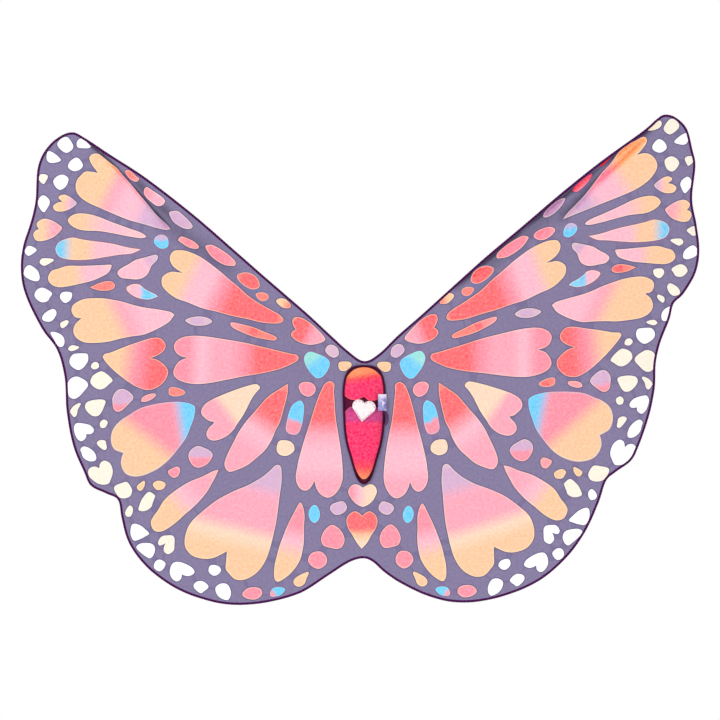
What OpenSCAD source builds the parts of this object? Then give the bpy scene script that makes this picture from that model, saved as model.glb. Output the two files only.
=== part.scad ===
// Butterfly dress-up wings: a printed cloth wing sheet with an overlocked edge, a padded
// body sewn over its middle, elastic shoulder straps and an elastic hand loop at each tip.
// X runs across the wearer, +Y points into the wearer's back, +Z is up.
// The origin is the centre of the backing patch's face, where it rests on the wearer.

/* [Wing sheet] */
// Thickness of the wing cloth
cloth = 1.0; // [0.6:0.1:1.6]
// Width of the overlocked edge
hem_w = 3.4; // [2.5:0.1:5]
// Thickness of the overlocked edge
hem_t = 2.0; // [1.6:0.1:2.4]
// Distance from the middle to each fold line
fold_x = 75; // [70:1:90]
// Gap left free at each fold line
fold_gap = 3; // [2.6:0.1:4]

/* [Padded body] */
// Height of the padded body above the origin
body_top = 56; // [52:1:58]
// Length of the padded body
body_len = 196; // [180:1:198]
// Greatest half width of the padded body
body_half_w = 33; // [30:0.5:34]
// Thickness of the wadding
filling_t = 11; // [8:0.5:14]
// Thickness of the satin cover
cover = 0.8; // [0.5:0.1:1]
// Width of the body's overlocked edge
edging_w = 3.6; // [3:0.1:4]
// Width of the heart badge
badge_w = 39; // [34:1:42]

/* [Straps and loops] */
// Width of a shoulder strap
strap_w = 15; // [12:1:18]
// Thickness of the elastic
elastic_t = 1.4; // [1:0.1:1.8]
// How far a shoulder strap stands off the sheet
strap_bulge = 105; // [80:1:120]
// How far a hand loop hangs down
loop_drop = 52; // [46:1:60]
// Width of a hand loop's elastic
loop_w = 10; // [8:1:12]

/* [Hidden] */
$fn = 64;
spline_steps = 5;

// The layers, from the wearer's side to the front.
patch_back = 0;
patch_t = 1;
sheet_back = patch_back - patch_t;
sheet_mid = sheet_back - cloth / 2;
sheet_front = sheet_back - cloth;
body_back_t = 0.8;
filling_back = sheet_front - body_back_t;
clear = 0.3;

// The sheet's edge as it hangs, from the neck to the middle of the tail, as [x, z].
left_edge = [
    [0, 66], [-27, 83], [-61, 114], [-100, 150], [-166, 207], [-223, 257], [-290, 315],
    [-370, 377], [-430, 416], [-474, 445], [-496, 455], [-520, 446], [-542, 424], [-555, 392],
    [-558, 340], [-566, 303], [-579, 262], [-583, 221], [-575, 178], [-548, 122], [-522, 86],
    [-509, 40], [-505, -20], [-494, -78], [-476, -122], [-464, -146], [-438, -159],
    [-418, -170], [-412, -200], [-400, -242], [-370, -283], [-325, -317], [-275, -338],
    [-223, -348], [-165, -344], [-108, -328], [-62, -299], [-26, -276], [-2, -269]
];
right_edge = [
    [0, 66], [26, 79], [58, 110], [97, 144], [150, 192], [208, 244], [270, 296],
    [338, 354], [406, 408], [474, 457], [497, 477], [511, 485], [530, 480], [549, 460],
    [558, 425], [563, 398], [557, 342], [565, 298], [570, 256], [564, 217], [543, 181],
    [526, 164], [519, 138], [503, 96], [496, 62], [494, 20], [484, -28], [466, -80],
    [453, -104], [428, -122], [411, -138], [399, -173], [379, -218], [349, -262],
    [304, -303], [253, -328], [198, -342], [150, -343], [106, -332], [62, -311],
    [34, -292], [15, -275], [-2, -269]
];

// Half of the padded body's outline: [share of the half width, share of the length down].
body_half = [
    [0, 0], [0.45, 0.008], [0.73, 0.037], [0.91, 0.1], [1, 0.2], [0.985, 0.32],
    [0.96, 0.45], [0.91, 0.57], [0.79, 0.68], [0.6, 0.79], [0.42, 0.895], [0.24, 0.968], [0, 1]
];

// A strap's route behind the sheet as [y, z]: sewn end, bow, sewn end.
strap_top = 88;
strap_foot = -142;
strap_tab = 22;
strap_x = 50;

// The hand loop hangs from its sewn end, behind each wing tip, as [x, z].
left_tip = [-498, 430];
right_tip = [511, 458];
loop_tab = 12;

// ---- Curves ----

function reversed(list) = [for (i = [len(list) - 1:-1:0]) list[i]];

function spline_point(a, b, c, d, t) =
    0.5 * ((2 * b) + (c - a) * t + (2 * a - 5 * b + 4 * c - d) * t * t
           + (3 * b - a - 3 * c + d) * t * t * t);

// A smooth closed curve through the points of a list.
function closed_spline(p, steps) =
    let (n = len(p))
    [for (i = [0:n - 1], k = [0:steps - 1])
        spline_point(p[(i + n - 1) % n], p[i], p[(i + 1) % n], p[(i + 2) % n], k / steps)];

function bezier(a, b, c, d, t) =
    pow(1 - t, 3) * a + 3 * pow(1 - t, 2) * t * b + 3 * (1 - t) * t * t * c + pow(t, 3) * d;

function side_of(a, b) = let (v = b - a) [v[1], -v[0]] / norm(v);

// A closed curve moved sideways by a distance, to its right as it runs.
function moved_sideways(p, distance) =
    let (n = len(p))
    [for (i = [0:n - 1]) p[i] + distance * side_of(p[(i + n - 1) % n], p[(i + 1) % n])];

// An open curve moved sideways in the same way.
function open_moved(p, distance) =
    let (n = len(p))
    [for (i = [0:n - 1]) p[i] + distance * side_of(p[max(i - 1, 0)], p[min(i + 1, n - 1)])];

// ---- Outlines in the X-Z plane ----

sheet_points = concat(
    [for (i = [0:len(left_edge) - 2]) left_edge[i]],
    [for (i = [len(right_edge) - 1:-1:1]) right_edge[i]]);
sheet_curve = closed_spline(sheet_points, spline_steps);

body_right = [for (p = body_half) [p[0] * body_half_w, body_top - p[1] * body_len]];
body_points = concat(
    [for (i = [0:len(body_right) - 2]) body_right[i]],
    [for (i = [len(body_right) - 1:-1:1]) [-body_right[i][0], body_right[i][1]]]);
body_curve = closed_spline(body_points, spline_steps);

module sheet_outline(inset = 0) polygon(moved_sideways(sheet_curve, -inset));
module body_outline(inset = 0) polygon(moved_sideways(body_curve, inset));

module band_between(from_x, to_x)
    translate([from_x, -500]) square([to_x - from_x, 1100]);

// Turns an outline in the X-Z plane into a layer from y_back forwards.
module layer(y_back, thickness)
    translate([0, y_back, 0]) rotate([90, 0, 0]) linear_extrude(thickness) children();

// ---- Wing sheet ----

module panel(from_x, to_x)
    layer(sheet_back, cloth)
        intersection() {
            sheet_outline(hem_w);
            band_between(from_x, to_x);
        }

module hem(from_x, to_x, from_z, to_z)
    layer(sheet_mid + hem_t / 2, hem_t)
        intersection() {
            difference() {
                sheet_outline();
                sheet_outline(hem_w);
            }
            translate([from_x, from_z]) square([to_x - from_x, to_z - from_z]);
        }

centre_edge = fold_x - fold_gap / 2;
wing_edge = fold_x + fold_gap / 2;
far_side = 700;

module centre_panel() color("#877ba3") panel(-centre_edge, centre_edge);
module left_wing_panel() color("#877ba3") panel(-far_side, -wing_edge);
module right_wing_panel() color("#877ba3") panel(wing_edge, far_side);
module neck_hem() color("#4f1f54") hem(-centre_edge, centre_edge, 0, far_side);
module tail_hem() color("#4f1f54") hem(-centre_edge, centre_edge, -far_side, 0);
module left_wing_hem() color("#4f1f54") hem(-far_side, -wing_edge, -far_side, far_side);
module right_wing_hem() color("#4f1f54") hem(wing_edge, far_side, -far_side, far_side);

// ---- Padded body ----

body_mid_z = body_top - body_len / 2;
cover_front = filling_back - filling_t;
across_r = 62;
along_r = 700;

// Two crossed cylinders, raised or lowered off the cover's front.
module crown(raised)
    intersection() {
        translate([0, cover_front + across_r, body_mid_z])
            cylinder(r = across_r + raised, h = 2 * body_len, center = true, $fn = 120);
        translate([0, cover_front + along_r, body_mid_z]) rotate([0, 90, 0])
            cylinder(r = along_r + raised, h = 4 * body_half_w, center = true, $fn = 360);
    }

// The body's outline, crowned like a pillow.
module pillow(inset)
    intersection() {
        layer(filling_back, 2 * filling_t) body_outline(inset);
        crown(-inset);
    }

module body_filling() color("white") pillow(cover);

module body_cover()
    color("#ff3a6c") difference() {
        pillow(0);
        body_filling();
    }

module body_back() color("#4f1f54") layer(sheet_front, body_back_t) body_outline();

module body_edging()
    color("#3f1238") layer(sheet_front, 3) difference() {
        body_outline(-edging_w);
        body_outline();
    }

badge_z = -11;
badge_turn = -8;
badge_t = 1.2;
badge_lobe_r = badge_w * 0.27;
badge_lobe_x = badge_w / 2 - badge_lobe_r;
badge_point = [0, -badge_w * 0.66];
badge_side = [badge_lobe_x + badge_lobe_r * 0.86, -badge_lobe_r * 0.5];
stitch_inset = 2;
thread_t = 0.5;

lobe_start = -30;
lobe_end = 148;
lobe_step = (lobe_end - lobe_start) / 20;

// A heart from its two lobes' arcs and its point.
module heart()
    polygon(concat(
        [for (a = [lobe_start:lobe_step:lobe_end])
            [badge_lobe_x + badge_lobe_r * cos(a), badge_lobe_r * sin(a)]],
        [for (a = [180 - lobe_end:lobe_step:180 - lobe_start])
            [-badge_lobe_x + badge_lobe_r * cos(a), badge_lobe_r * sin(a)]],
        [badge_point]));

// A column through the cover where the badge is sewn.
module badge_column()
    translate([0, 0, badge_z]) layer(sheet_front, 30) rotate(badge_turn) children();

// A heart-shaped woven badge that follows the cover's curve.
module heart_badge()
    color("white") intersection() {
        difference() {
            crown(badge_t);
            crown(0);
        }
        badge_column() heart();
    }

// One stitch, along its own direction.
module stitch(at, turn) translate(at) rotate(turn) square([2.6, 0.7], center = true);

// The running stitches along the badge's edge, one half and its mirror.
module stitch_ring()
    for (half = [0, 1]) mirror([half, 0]) {
        for (a = [10:40:130])
            stitch([badge_lobe_x, 0] + (badge_lobe_r - stitch_inset) * [cos(a), sin(a)], a + 90);
        for (k = [0.18, 0.38, 0.58, 0.78])
            stitch(badge_side + k * (badge_point - badge_side) + [-stitch_inset, 0], 49);
    }

module badge_stitches()
    color("#d9566b") intersection() {
        difference() {
            crown(badge_t + thread_t);
            crown(badge_t);
        }
        badge_column() stitch_ring();
    }

label_w = 16;
label_h = 28;
label_t = 0.6;
label_x = body_half_w + edging_w + 1.8;
label_y = sheet_front - 4;
label_z = -4;
label_lean = 152;

// A folded satin label on the body's right edge. It turns about its seam line, at label_x.
module side_label()
    color("#e9e4f4") translate([label_x, label_y, label_z]) rotate([0, 0, -label_lean])
        for (side = [0, label_t])
            translate([0.4, side - label_t, -label_h / 2]) cube([label_w, label_t, label_h]);

ribbon_z = -32;
ribbon_t = 0.7;
ribbon_half = 12;

// A narrow ribbon loop that stands out of the same edge, below the label.
module ribbon_loop()
    color("#4f1f54") translate([0, sheet_front, 0]) rotate([90, 0, 0]) linear_extrude(5)
        intersection() {
            translate([body_half_w + edging_w - 3, ribbon_z]) difference() {
                circle(r = ribbon_half);
                circle(r = ribbon_half - ribbon_t);
            }
            difference() {
                translate([0, ribbon_z - 20]) square([60, 40]);
                body_outline(-edging_w);
            }
        }

module backing_patch() color("#6d6288") layer(patch_back, patch_t) body_outline(1 - edging_w);

// ---- Straps, labels and hand loops ----

tab_mid = sheet_back + elastic_t / 2;

strap_line = concat(
    [[tab_mid, strap_top], [tab_mid, strap_top - strap_tab / 2]],
    [for (i = [0:20]) bezier([tab_mid, strap_top - strap_tab], [tab_mid, strap_top - 62],
                             [strap_bulge * 0.93, strap_top - 40], [strap_bulge, strap_top - 118], i / 20)],
    [for (i = [1:20]) bezier([strap_bulge, strap_top - 118], [strap_bulge * 1.06, strap_top - 190],
                             [tab_mid, strap_foot + 74], [tab_mid, strap_foot + strap_tab], i / 20)],
    [[tab_mid, strap_foot + strap_tab / 2], [tab_mid, strap_foot]]);
strap_profile = concat(open_moved(strap_line, elastic_t / 2),
                       reversed(open_moved(strap_line, -elastic_t / 2)));

module strap_at(x)
    translate([x - strap_w / 2, 0, 0]) rotate([90, 0, 90]) linear_extrude(strap_w) polygon(strap_profile);

module left_shoulder_strap() color("#55204f") strap_at(-strap_x);
module right_shoulder_strap() color("#55204f") strap_at(strap_x);

bartack_t = 0.7;
bartack_w = 1.6;

// Two rows of dense stitching across each sewn end of a strap.
module strap_bartacks_at(x)
    for (z = [strap_top - 5, strap_top - 15, strap_foot + 5, strap_foot + 15])
        translate([x, 0, z]) layer(sheet_back + elastic_t + bartack_t, bartack_t)
            square([strap_w - 2, bartack_w], center = true);

module left_strap_bartacks() color("#2c0a2c") strap_bartacks_at(-strap_x);
module right_strap_bartacks() color("#2c0a2c") strap_bartacks_at(strap_x);

care_w = 22;
care_h = 34;
care_t = 0.5;
care_top = -180;
care_gap = 0.4;

// A satin label that hangs from its stitched top edge, low on the wearer's side.
module care_label()
    color("white") translate([0, 0, care_top - care_h / 2])
        layer(sheet_back + care_gap + care_t, care_t) square([care_w, care_h], center = true);

patch_r = 14;

patch_layer = 0.6;

// A stay patch under the loop's sewn end, a disc with its top and foot cut flat.
module tip_patch_at(tip)
    translate([tip[0], 0, tip[1]]) layer(sheet_back + patch_layer, patch_layer)
        intersection() {
            circle(patch_r);
            square([2 * patch_r, 20], center = true);
        }

tab_back = sheet_back + patch_layer;
strand_gap = 0.3;
tab_t = 2 * elastic_t + strand_gap;

// The elastic's two ends, one behind the other, sewn to the tip patch.
module loop_tab_at(tip)
    translate([tip[0], 0, tip[1]]) layer(tab_back + tab_t, tab_t)
        square([loop_w, loop_tab], center = true);

module loop_bartack_at(tip)
    for (z = [-3, 3])
        translate([tip[0], 0, tip[1] + z]) layer(tab_back + tab_t + bartack_t, bartack_t)
            square([loop_w - 1, bartack_w], center = true);

// The free loop's route as [y, z] from the foot of the tab: down along the sheet, round and
// back up beside itself. It turns about the tab's lower edge, on the wearer's side.
loop_front = clear + elastic_t / 2;
loop_rear = loop_front + elastic_t + strand_gap;
loop_far = 0.75 * loop_drop;
loop_low = [loop_far / 2, -loop_drop];
loop_line = concat(
    [for (i = [0:9]) [loop_front, -i * 0.06 * loop_drop]],
    [for (i = [0:11]) bezier([loop_front, -0.6 * loop_drop], [loop_front, -0.85 * loop_drop],
                             loop_low - [0.25 * loop_far, 0], loop_low, i / 12)],
    [for (i = [0:11]) bezier(loop_low, loop_low + [0.25 * loop_far, 0],
                             [loop_far, -0.85 * loop_drop], [loop_far, -0.62 * loop_drop], i / 12)],
    [for (i = [0:20]) bezier([loop_far, -0.62 * loop_drop], [loop_far, -0.34 * loop_drop],
                             [loop_rear, -0.3 * loop_drop], [loop_rear, 0], i / 20)]);
loop_profile = concat(open_moved(loop_line, elastic_t / 2),
                      reversed(open_moved(loop_line, -elastic_t / 2)));

module hand_loop_at(tip)
    translate([tip[0] - loop_w / 2, tab_back, tip[1] - loop_tab / 2 - clear]) rotate([90, 0, 90])
        linear_extrude(loop_w) polygon(loop_profile);

module left_tip_patch() color("#6d6288") tip_patch_at(left_tip);
module right_tip_patch() color("#6d6288") tip_patch_at(right_tip);
module left_loop_tab() color("#55204f") loop_tab_at(left_tip);
module right_loop_tab() color("#55204f") loop_tab_at(right_tip);
module left_loop_bartack() color("#2c0a2c") loop_bartack_at(left_tip);
module right_loop_bartack() color("#2c0a2c") loop_bartack_at(right_tip);
module left_hand_loop() color("#55204f") hand_loop_at(left_tip);
module right_hand_loop() color("#55204f") hand_loop_at(right_tip);

centre_panel();
left_wing_panel();
right_wing_panel();
neck_hem();
tail_hem();
left_wing_hem();
right_wing_hem();
body_cover();
body_filling();
body_back();
body_edging();
heart_badge();
badge_stitches();
side_label();
ribbon_loop();
backing_patch();
left_shoulder_strap();
right_shoulder_strap();
left_strap_bartacks();
right_strap_bartacks();
care_label();
left_tip_patch();
right_tip_patch();
left_loop_tab();
right_loop_tab();
left_loop_bartack();
right_loop_bartack();
left_hand_loop();
right_hand_loop();
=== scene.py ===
import math
import bpy
import numpy as np
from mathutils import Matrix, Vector, kdtree
from mathutils.geometry import delaunay_2d_cdt


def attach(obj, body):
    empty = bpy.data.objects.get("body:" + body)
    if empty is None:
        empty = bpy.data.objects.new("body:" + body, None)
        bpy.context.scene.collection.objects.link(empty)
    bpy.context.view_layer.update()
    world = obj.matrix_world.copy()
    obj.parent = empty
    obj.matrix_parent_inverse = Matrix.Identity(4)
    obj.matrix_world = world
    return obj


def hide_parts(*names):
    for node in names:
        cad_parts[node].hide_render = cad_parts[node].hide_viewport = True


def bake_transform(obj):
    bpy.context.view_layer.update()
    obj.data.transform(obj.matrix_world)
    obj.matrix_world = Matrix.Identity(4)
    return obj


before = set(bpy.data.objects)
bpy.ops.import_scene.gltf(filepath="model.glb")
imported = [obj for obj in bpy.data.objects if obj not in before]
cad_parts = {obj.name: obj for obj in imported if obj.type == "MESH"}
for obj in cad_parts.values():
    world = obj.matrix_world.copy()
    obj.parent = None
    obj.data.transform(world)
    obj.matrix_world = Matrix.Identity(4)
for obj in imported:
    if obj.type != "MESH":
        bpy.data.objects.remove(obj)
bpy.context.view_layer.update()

# ---- Wing cloth ----
# One layer of printed polyester in two halves that meet on the middle line. The cell print is part
# of the cloth itself. Each half is sewn under the padded body.


def linear(rgb):
    """A colour given from 0 to 255 in sRGB, as linear values."""
    c = np.array(rgb[:3], float) / 255
    return np.where(c <= 0.04045, c / 12.92, ((c + 0.055) / 1.055) ** 2.4)


PAINTS = {
    "ground": (130, 120, 155), "peach": (254, 201, 161), "pink": (254, 187, 203),
    "rose": (253, 149, 167), "coral": (253, 112, 116), "blue": (116, 206, 250),
    "mint": (160, 226, 220), "lilac": (215, 176, 208), "cream": (249, 240, 223),
    "white": (254, 254, 254), "line": (74, 62, 118), "blue_line": (142, 84, 132),
    "coral_line": (92, 104, 156), "pale": (254, 216, 190), "rim": (255, 240, 190),
    "blue_rim": (140, 244, 255), "scarlet": (236, 40, 74), "blush": (253, 168, 185),
}
PAINTS = {name: linear(rgb) for name, rgb in PAINTS.items()}

# The cells of the left half. An outline is "out,up" in millimetres from the middle line and the
# origin, smooth but for the points marked *. A paint is one name, or "from to: first>last" where
# the names are spread evenly along that line; a second wash after | comes in over the first.
CELLS = [
    ("503,446 494,430 505,420 517,427 521,436 513,445", "white"),
    ("483,444 488,438 487,430 480,428 468,428 *464,431 472,439 478,444", "white"),
    ("536,423 526,419 515,408 522,404 533,403 539,408 539,418", "white"),
    ("488,412 480,405 478,397 484,391 494,389 503,396 499,406", "white"),
    ("549,384 540,383 537,379 541,371 545,367 552,373 552,380", "cream"),
    ("513,383 504,379 502,373 507,362 516,357 523,361 528,371 523,379", "white"),
    ("545,348 536,342 534,334 540,323 544,319 549,323 554,333 552,343", "white"),
    ("570,262 562,260 556,255 562,249 570,245 576,250 575,257", "white"),
    ("543,241 530,240 527,237 536,231 544,228 551,233 549,239", "cream"),
    ("570,229 563,227 554,219 551,209 553,203 560,202 572,207 578,214 576,224", "white"),
    ("547,191 537,187 530,181 534,174 538,168 547,166 555,170 560,178 556,187", "white"),
    ("508,184 498,183 496,178 499,170 507,165 513,168 517,175 514,182", "white"),
    ("529,155 524,152 523,146 528,137 535,133 545,135 547,141 541,149", "white"),
    ("505,136 502,133 505,127 512,122 516,125 516,131 511,134", "cream"),
    ("533,114 528,116 518,113 511,107 509,99 511,92 516,90 521,93 526,101", "white"),
    ("493,93 484,90 488,86 498,83 503,87 499,92", "cream"),
    ("488,79 472,79 469,75 469,67 475,57 484,51 493,54 500,61 500,70 495,77", "white"),
    ("456,65 451,62 451,55 459,52 464,56 462,62", "cream"),
    ("489,40 480,37 471,31 469,24 474,17 484,6 493,2 501,6 503,15 504,27 499,36", "white"),
    ("450,48 443,48 433,41 427,33 433,27 441,20 450,18 460,23 465,31 461,41", "cream"),
    ("460,0 445,1 439,-2 441,-10 446,-21 452,-27 461,-27 470,-20 474,-12 471,-4", "cream"),
    ("484,-5 481,-7 486,-16 487,-22 489,-27 493,-29 498,-23 499,-18 493,-10", "cream"),
    ("*472,-58 466,-58 461,-56 459,-50 465,-43 475,-40 487,-39 491,-42 493,-48 491,-58 487,-66 "
     "481,-70 476,-68 472,-63", "white"),
    ("442,-33 436,-36 436,-41 440,-47 447,-47 449,-41 447,-36", "cream"),
    ("448,-68 440,-69 438,-75 437,-82 441,-85 447,-82 453,-76 454,-72", "cream"),
    ("477,-79 468,-81 459,-88 455,-97 457,-103 467,-104 477,-98 480,-90 482,-84", "white"),
    ("*450,-116 449,-109 446,-105 440,-103 432,-107 428,-115 427,-124 430,-134 434,-142 "
     "443,-144 452,-142 461,-136 467,-130 469,-121 465,-115 457,-113", "cream"),
    ("404,-139 399,-143 394,-153 397,-163 406,-167 415,-166 422,-158 425,-150 422,-145 "
     "412,-141", "cream"),
    ("398,-179 393,-183 393,-191 397,-198 403,-198 406,-193 404,-186", "cream"),
    ("366,-156 356,-161 355,-164 359,-175 361,-181 368,-187 376,-189 383,-187 382,-180 "
     "377,-168", "cream"),
    ("390,-210 380,-213 371,-220 365,-227 372,-232 382,-237 391,-239 396,-231 397,-222 "
     "395,-213", "white"),
    ("380,-244 366,-243 358,-246 355,-254 358,-264 364,-269 372,-265 382,-257 387,-250", "white"),
    ("*337,-243 342,-246 348,-247 350,-242 347,-235 342,-231 336,-230 326,-230 322,-235 "
     "322,-245 323,-255 328,-260 334,-262 340,-257 340,-250", "cream"),
    ("347,-271 340,-274 337,-279 341,-287 347,-291 353,-289 357,-284 356,-277 353,-273", "white"),
    ("*309,-296 305,-298 298,-299 292,-297 288,-293 290,-287 296,-282 304,-278 314,-275 "
     "323,-276 328,-282 330,-292 328,-300 323,-306 317,-308 311,-304", "white"),
    ("262,-282 255,-280 246,-283 243,-290 249,-297 257,-298 264,-291", "white"),
    ("283,-308 273,-308 264,-317 272,-325 278,-328 288,-320 289,-313", "white"),
    ("244,-312 234,-312 228,-319 226,-328 228,-336 233,-340 244,-336 251,-328 252,-318", "white"),
    # small coloured cells
    ("374,-137 372,-140 373,-146 377,-153 382,-154 386,-149 384,-144", "peach"),
    ("347,-137 339,-140 337,-144 341,-151 351,-153 356,-149 359,-143 354,-138", "peach"),
    ("318,-113 313,-116 313,-123 317,-130 324,-132 331,-127 333,-121 328,-117", "rose"),
    ("282,-78 272,-81 262,-86 257,-93 260,-101 268,-110 281,-115 291,-111 298,-99 297,-89 "
     "291,-82", "277,-90 277,-104: lilac>lilac>rose>rose"),
    ("411,19 402,16 393,8 393,1 403,-10 412,-18 419,-20 425,-16 427,-7 427,5 420,16",
     "411,0 411,-12: lilac>lilac>rose>rose"),
    ("379,-1 376,5 366,10 355,11 354,7 361,1 371,-3 377,-3", "rose"),
    ("331,20 325,22 315,20 306,16 304,12 310,8 321,6 331,9 332,14", "coral"),
    ("304,135 295,140 283,142 270,141 261,137 258,133 266,128 280,126 293,128", "lilac"),
    ("*466,191 452,198 438,202 428,201 423,195 426,189 435,186 450,186 460,189",
     "458,190 428,196: coral>coral"),
    ("404,190 400,194 391,197 381,196 374,190 366,185 355,180 *350,176 355,174 365,171 378,172 "
     "390,176 400,183", "384,184 374,184: pink>pink>blue>blue"),
    ("344,281 335,277 332,268 334,260 343,257 352,261 357,269 354,277",
     "345,276 345,270: lilac>lilac>blue>blue"),
    ("102,70 97,80 90,82 80,79 65,72 58,63 62,50 70,40 78,37 85,40 97,55",
     "97,78 76,50: mint>mint>blue>blue"),
    ("110,26 105,30 95,31 86,27 82,20 84,12 92,6 100,7 107,12 111,21", "rose"),
    ("110,-1 105,-3 102,-11 103,-27 105,-40 109,-52 114,-58 121,-59 129,-56 133,-49 131,-36 "
     "127,-20 121,-8", "116,-33 118,-38: blue>blue>rose>rose"),
    ("143,-69 129,-69 121,-74 118,-82 121,-89 132,-95 143,-93 148,-87 148,-78", "pale"),
    ("43,77 51,72 60,76 66,84 62,92 54,94 45,88", "lilac"),
    ("42,64 25,65 21,59 26,53 33,49 42,52", "peach"),
    ("227,130 223,132 208,129 189,124 169,116 152,109 148,105 152,101 167,103 186,107 205,114 "
     "223,123", "225,128 160,108: rose>coral>coral"),
    ("207,-330 200,-321 189,-318 177,-320 173,-327 176,-334 186,-339 200,-337", "rose"),
    ("160,-329 156,-321 148,-318 138,-319 134,-323 141,-331 150,-334 158,-334",
     "155,-329 151,-326: rose>rose>blue>blue"),
    ("96,-292 94,-295 98,-304 101,-312 108,-317 116,-316 120,-310 117,-303 108,-297", "peach"),
    ("77,-257 69,-260 63,-269 64,-278 70,-284 78,-287 88,-283 95,-274 93,-265 87,-259", "rose"),
    ("54,-212 44,-217 36,-227 33,-238 37,-249 45,-253 58,-251 69,-247 73,-237 70,-226 63,-217",
     "rose"),
    ("40,-172 33,-174 29,-183 34,-191 43,-195 51,-194 58,-185 54,-177", "lilac"),
    ("87,-179 80,-180 75,-192 77,-203 84,-209 91,-204 94,-195 93,-187", "blue"),
    # ovals along the leading edge
    ("402,391 395,388 388,381 382,376 387,371 394,373 401,379 406,388",
     "398,386 386,374: coral>rose"),
    ("369,362 361,357 350,350 341,343 338,337 343,331 352,330 361,336 368,342 374,351 373,359",
     "372,362 342,330: rose>pink>pink"),
    ("331,319 325,321 316,321 305,312 295,302 291,295 295,291 303,291 313,295 324,303 330,313",
     "lilac"),
    ("311,278 303,276 290,270 282,263 281,259 286,257 297,259 309,266 316,272", "rose"),
    ("270,261 263,264 256,263 240,254 228,245 219,236 219,229 225,228 238,230 252,238 263,248",
     "rose"),
    ("215,213 208,216 201,217 192,215 183,209 178,200 178,192 186,188 196,190 207,197 215,206",
     "coral"),
    ("181,182 172,183 164,180 162,175 165,170 173,168 180,172 184,179", "coral"),
    ("148,171 141,173 133,171 126,164 124,159 128,156 138,157 146,163 149,167",
     "146,170 128,158: peach>peach>coral"),
    # hearts and drops of the fore part
    ("*512,337 518,342 518,346 510,349 501,346 493,340 488,334 497,326 508,321 518,320 525,322 "
     "528,329 521,335", "508,336 494,334: peach>pink>lilac"),
    ("*552,290 556,297 554,303 544,308 530,305 517,297 513,291 525,278 541,271 553,270 559,273 "
     "562,281 558,288", "546,290 528,290: peach>blush"),
    ("370,278 380,285 400,292 430,303 450,311 468,316 486,317 497,313 503,306 500,299 490,292 "
     "475,288 450,287 425,283 400,278 378,275", "480,300 440,295: peach>pink"),
    ("*379,256 400,259 430,266 460,270 480,273 494,276 508,273 519,267 524,256 519,245 508,240 "
     "490,238 465,239 440,243 415,247 395,249",
     "514,257 412,253: blue>peach>peach>pink>pink>pink"),
    ("429,227 431,230 450,229 480,228 503,228 520,223 531,219 537,208 533,198 521,192 504,193 "
     "480,198 461,203 445,210 434,217", "494,210 470,212: peach>pink"),
    ("354,247 350,243 353,236 361,228 367,215 375,208 386,205 400,206 413,208 419,216 414,223 "
     "400,231 388,238 370,243", "366,238 374,232: lilac>pink"),
    ("*480,139 489,140 494,144 497,151 496,159 490,165 478,171 463,173 445,173 430,171 410,167 "
     "390,161 371,157 350,154 330,150 *322,145 330,134 340,127 355,119 375,111 395,108 415,104 "
     "435,99 458,97 475,98 487,104 493,112 494,120 490,130",
     "452,118 380,152: peach>peach>blush>pink"),
    ("*307,216 315,220 325,228 330,239 328,248 321,254 305,254 290,249 276,242 263,233 245,219 "
     "230,206 214,193 200,180 185,169 165,157 150,149 140,142 137,136 141,131 155,130 175,132 "
     "200,138 225,143 250,150 275,156 300,166 317,172 330,180 341,191 344,199 343,208 337,214 "
     "327,218 315,217", "305,215 222,176: peach>pink>pink>rose>coral"),
    ("*116,120 120,126 122,134 119,140 112,141 102,138 90,130 78,119 68,108 66,102 74,97 88,94 "
     "100,95 114,100 122,107 124,112 121,117", "110,120 84,108: coral>coral>rose>blush"),
    ("*300,72 310,74 319,80 323,90 320,99 310,106 296,109 280,109 260,107 235,103 205,98 175,91 "
     "150,85 125,79 115,77 111,72 114,66 125,60 145,52 175,45 205,40 235,34 262,29 285,27 "
     "305,30 318,36 324,45 322,55 315,65 308,69",
     "300,75 180,70: rose>pink>blush>blush>rose>coral"),
    ("*363,71 351,76 341,83 337,91 339,98 346,105 357,106 370,103 385,98 400,93 415,87 430,81 "
     "441,78 *444,73 440,66 430,55 418,44 405,34 393,26 383,21 370,17 357,19 346,25 337,35 "
     "333,46 335,54 343,63 353,69", "415,70 358,62: peach>rose>coral"),
    ("*409,-90 415,-88 424,-84 429,-75 430,-63 427,-51 420,-41 410,-32 400,-26 388,-18 375,-12 "
     "355,-7 335,-4 317,-3 300,-5 290,-9 287,-14 289,-29 295,-46 303,-65 316,-83 331,-101 "
     "345,-113 358,-121 375,-128 390,-130 402,-127 409,-120 413,-109 412,-98",
     "405,-118 322,-14: peach>peach>peach>rose>rose>rose|327,-34 301,-30: blue"),
    ("*254,-37 262,-36 270,-31 276,-24 276,-16 270,-7 258,1 245,7 225,15 205,22 186,27 179,25 "
     "177,20 184,12 192,0 198,-12 206,-27 215,-40 222,-51 233,-61 245,-67 256,-69 264,-66 "
     "268,-58 264,-48 258,-42", "254,-32 202,8: blush>blush>pale>pale>pale"),
    ("*129,28 130,10 136,-14 143,-38 150,-51 157,-68 168,-85 182,-98 197,-110 214,-118 228,-122 "
     "235,-117 237,-107 232,-92 221,-70 212,-53 200,-36 187,-21 175,-7 163,6 145,18",
     "142,4 222,-112: coral>coral>pink>blush>blush"),
    ("*84,-137 88,-145 94,-152 101,-154 108,-151 114,-142 116,-130 114,-117 111,-101 106,-83 "
     "101,-66 93,-42 86,-19 79,2 73,16 68,26 60,32 54,31 50,26 51,16 50,0 48,-30 44,-55 40,-80 "
     "37,-105 36,-130 39,-144 45,-155 53,-163 62,-166 70,-163 77,-157 82,-147",
     "70,-6 72,-140: coral>coral>blush>pink>pink>blush"),
    ("*247,-118 252,-130 258,-141 266,-155 278,-170 292,-184 305,-195 318,-207 330,-216 "
     "343,-223 354,-223 360,-217 362,-207 358,-198 350,-187 341,-172 330,-161 315,-150 "
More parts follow.
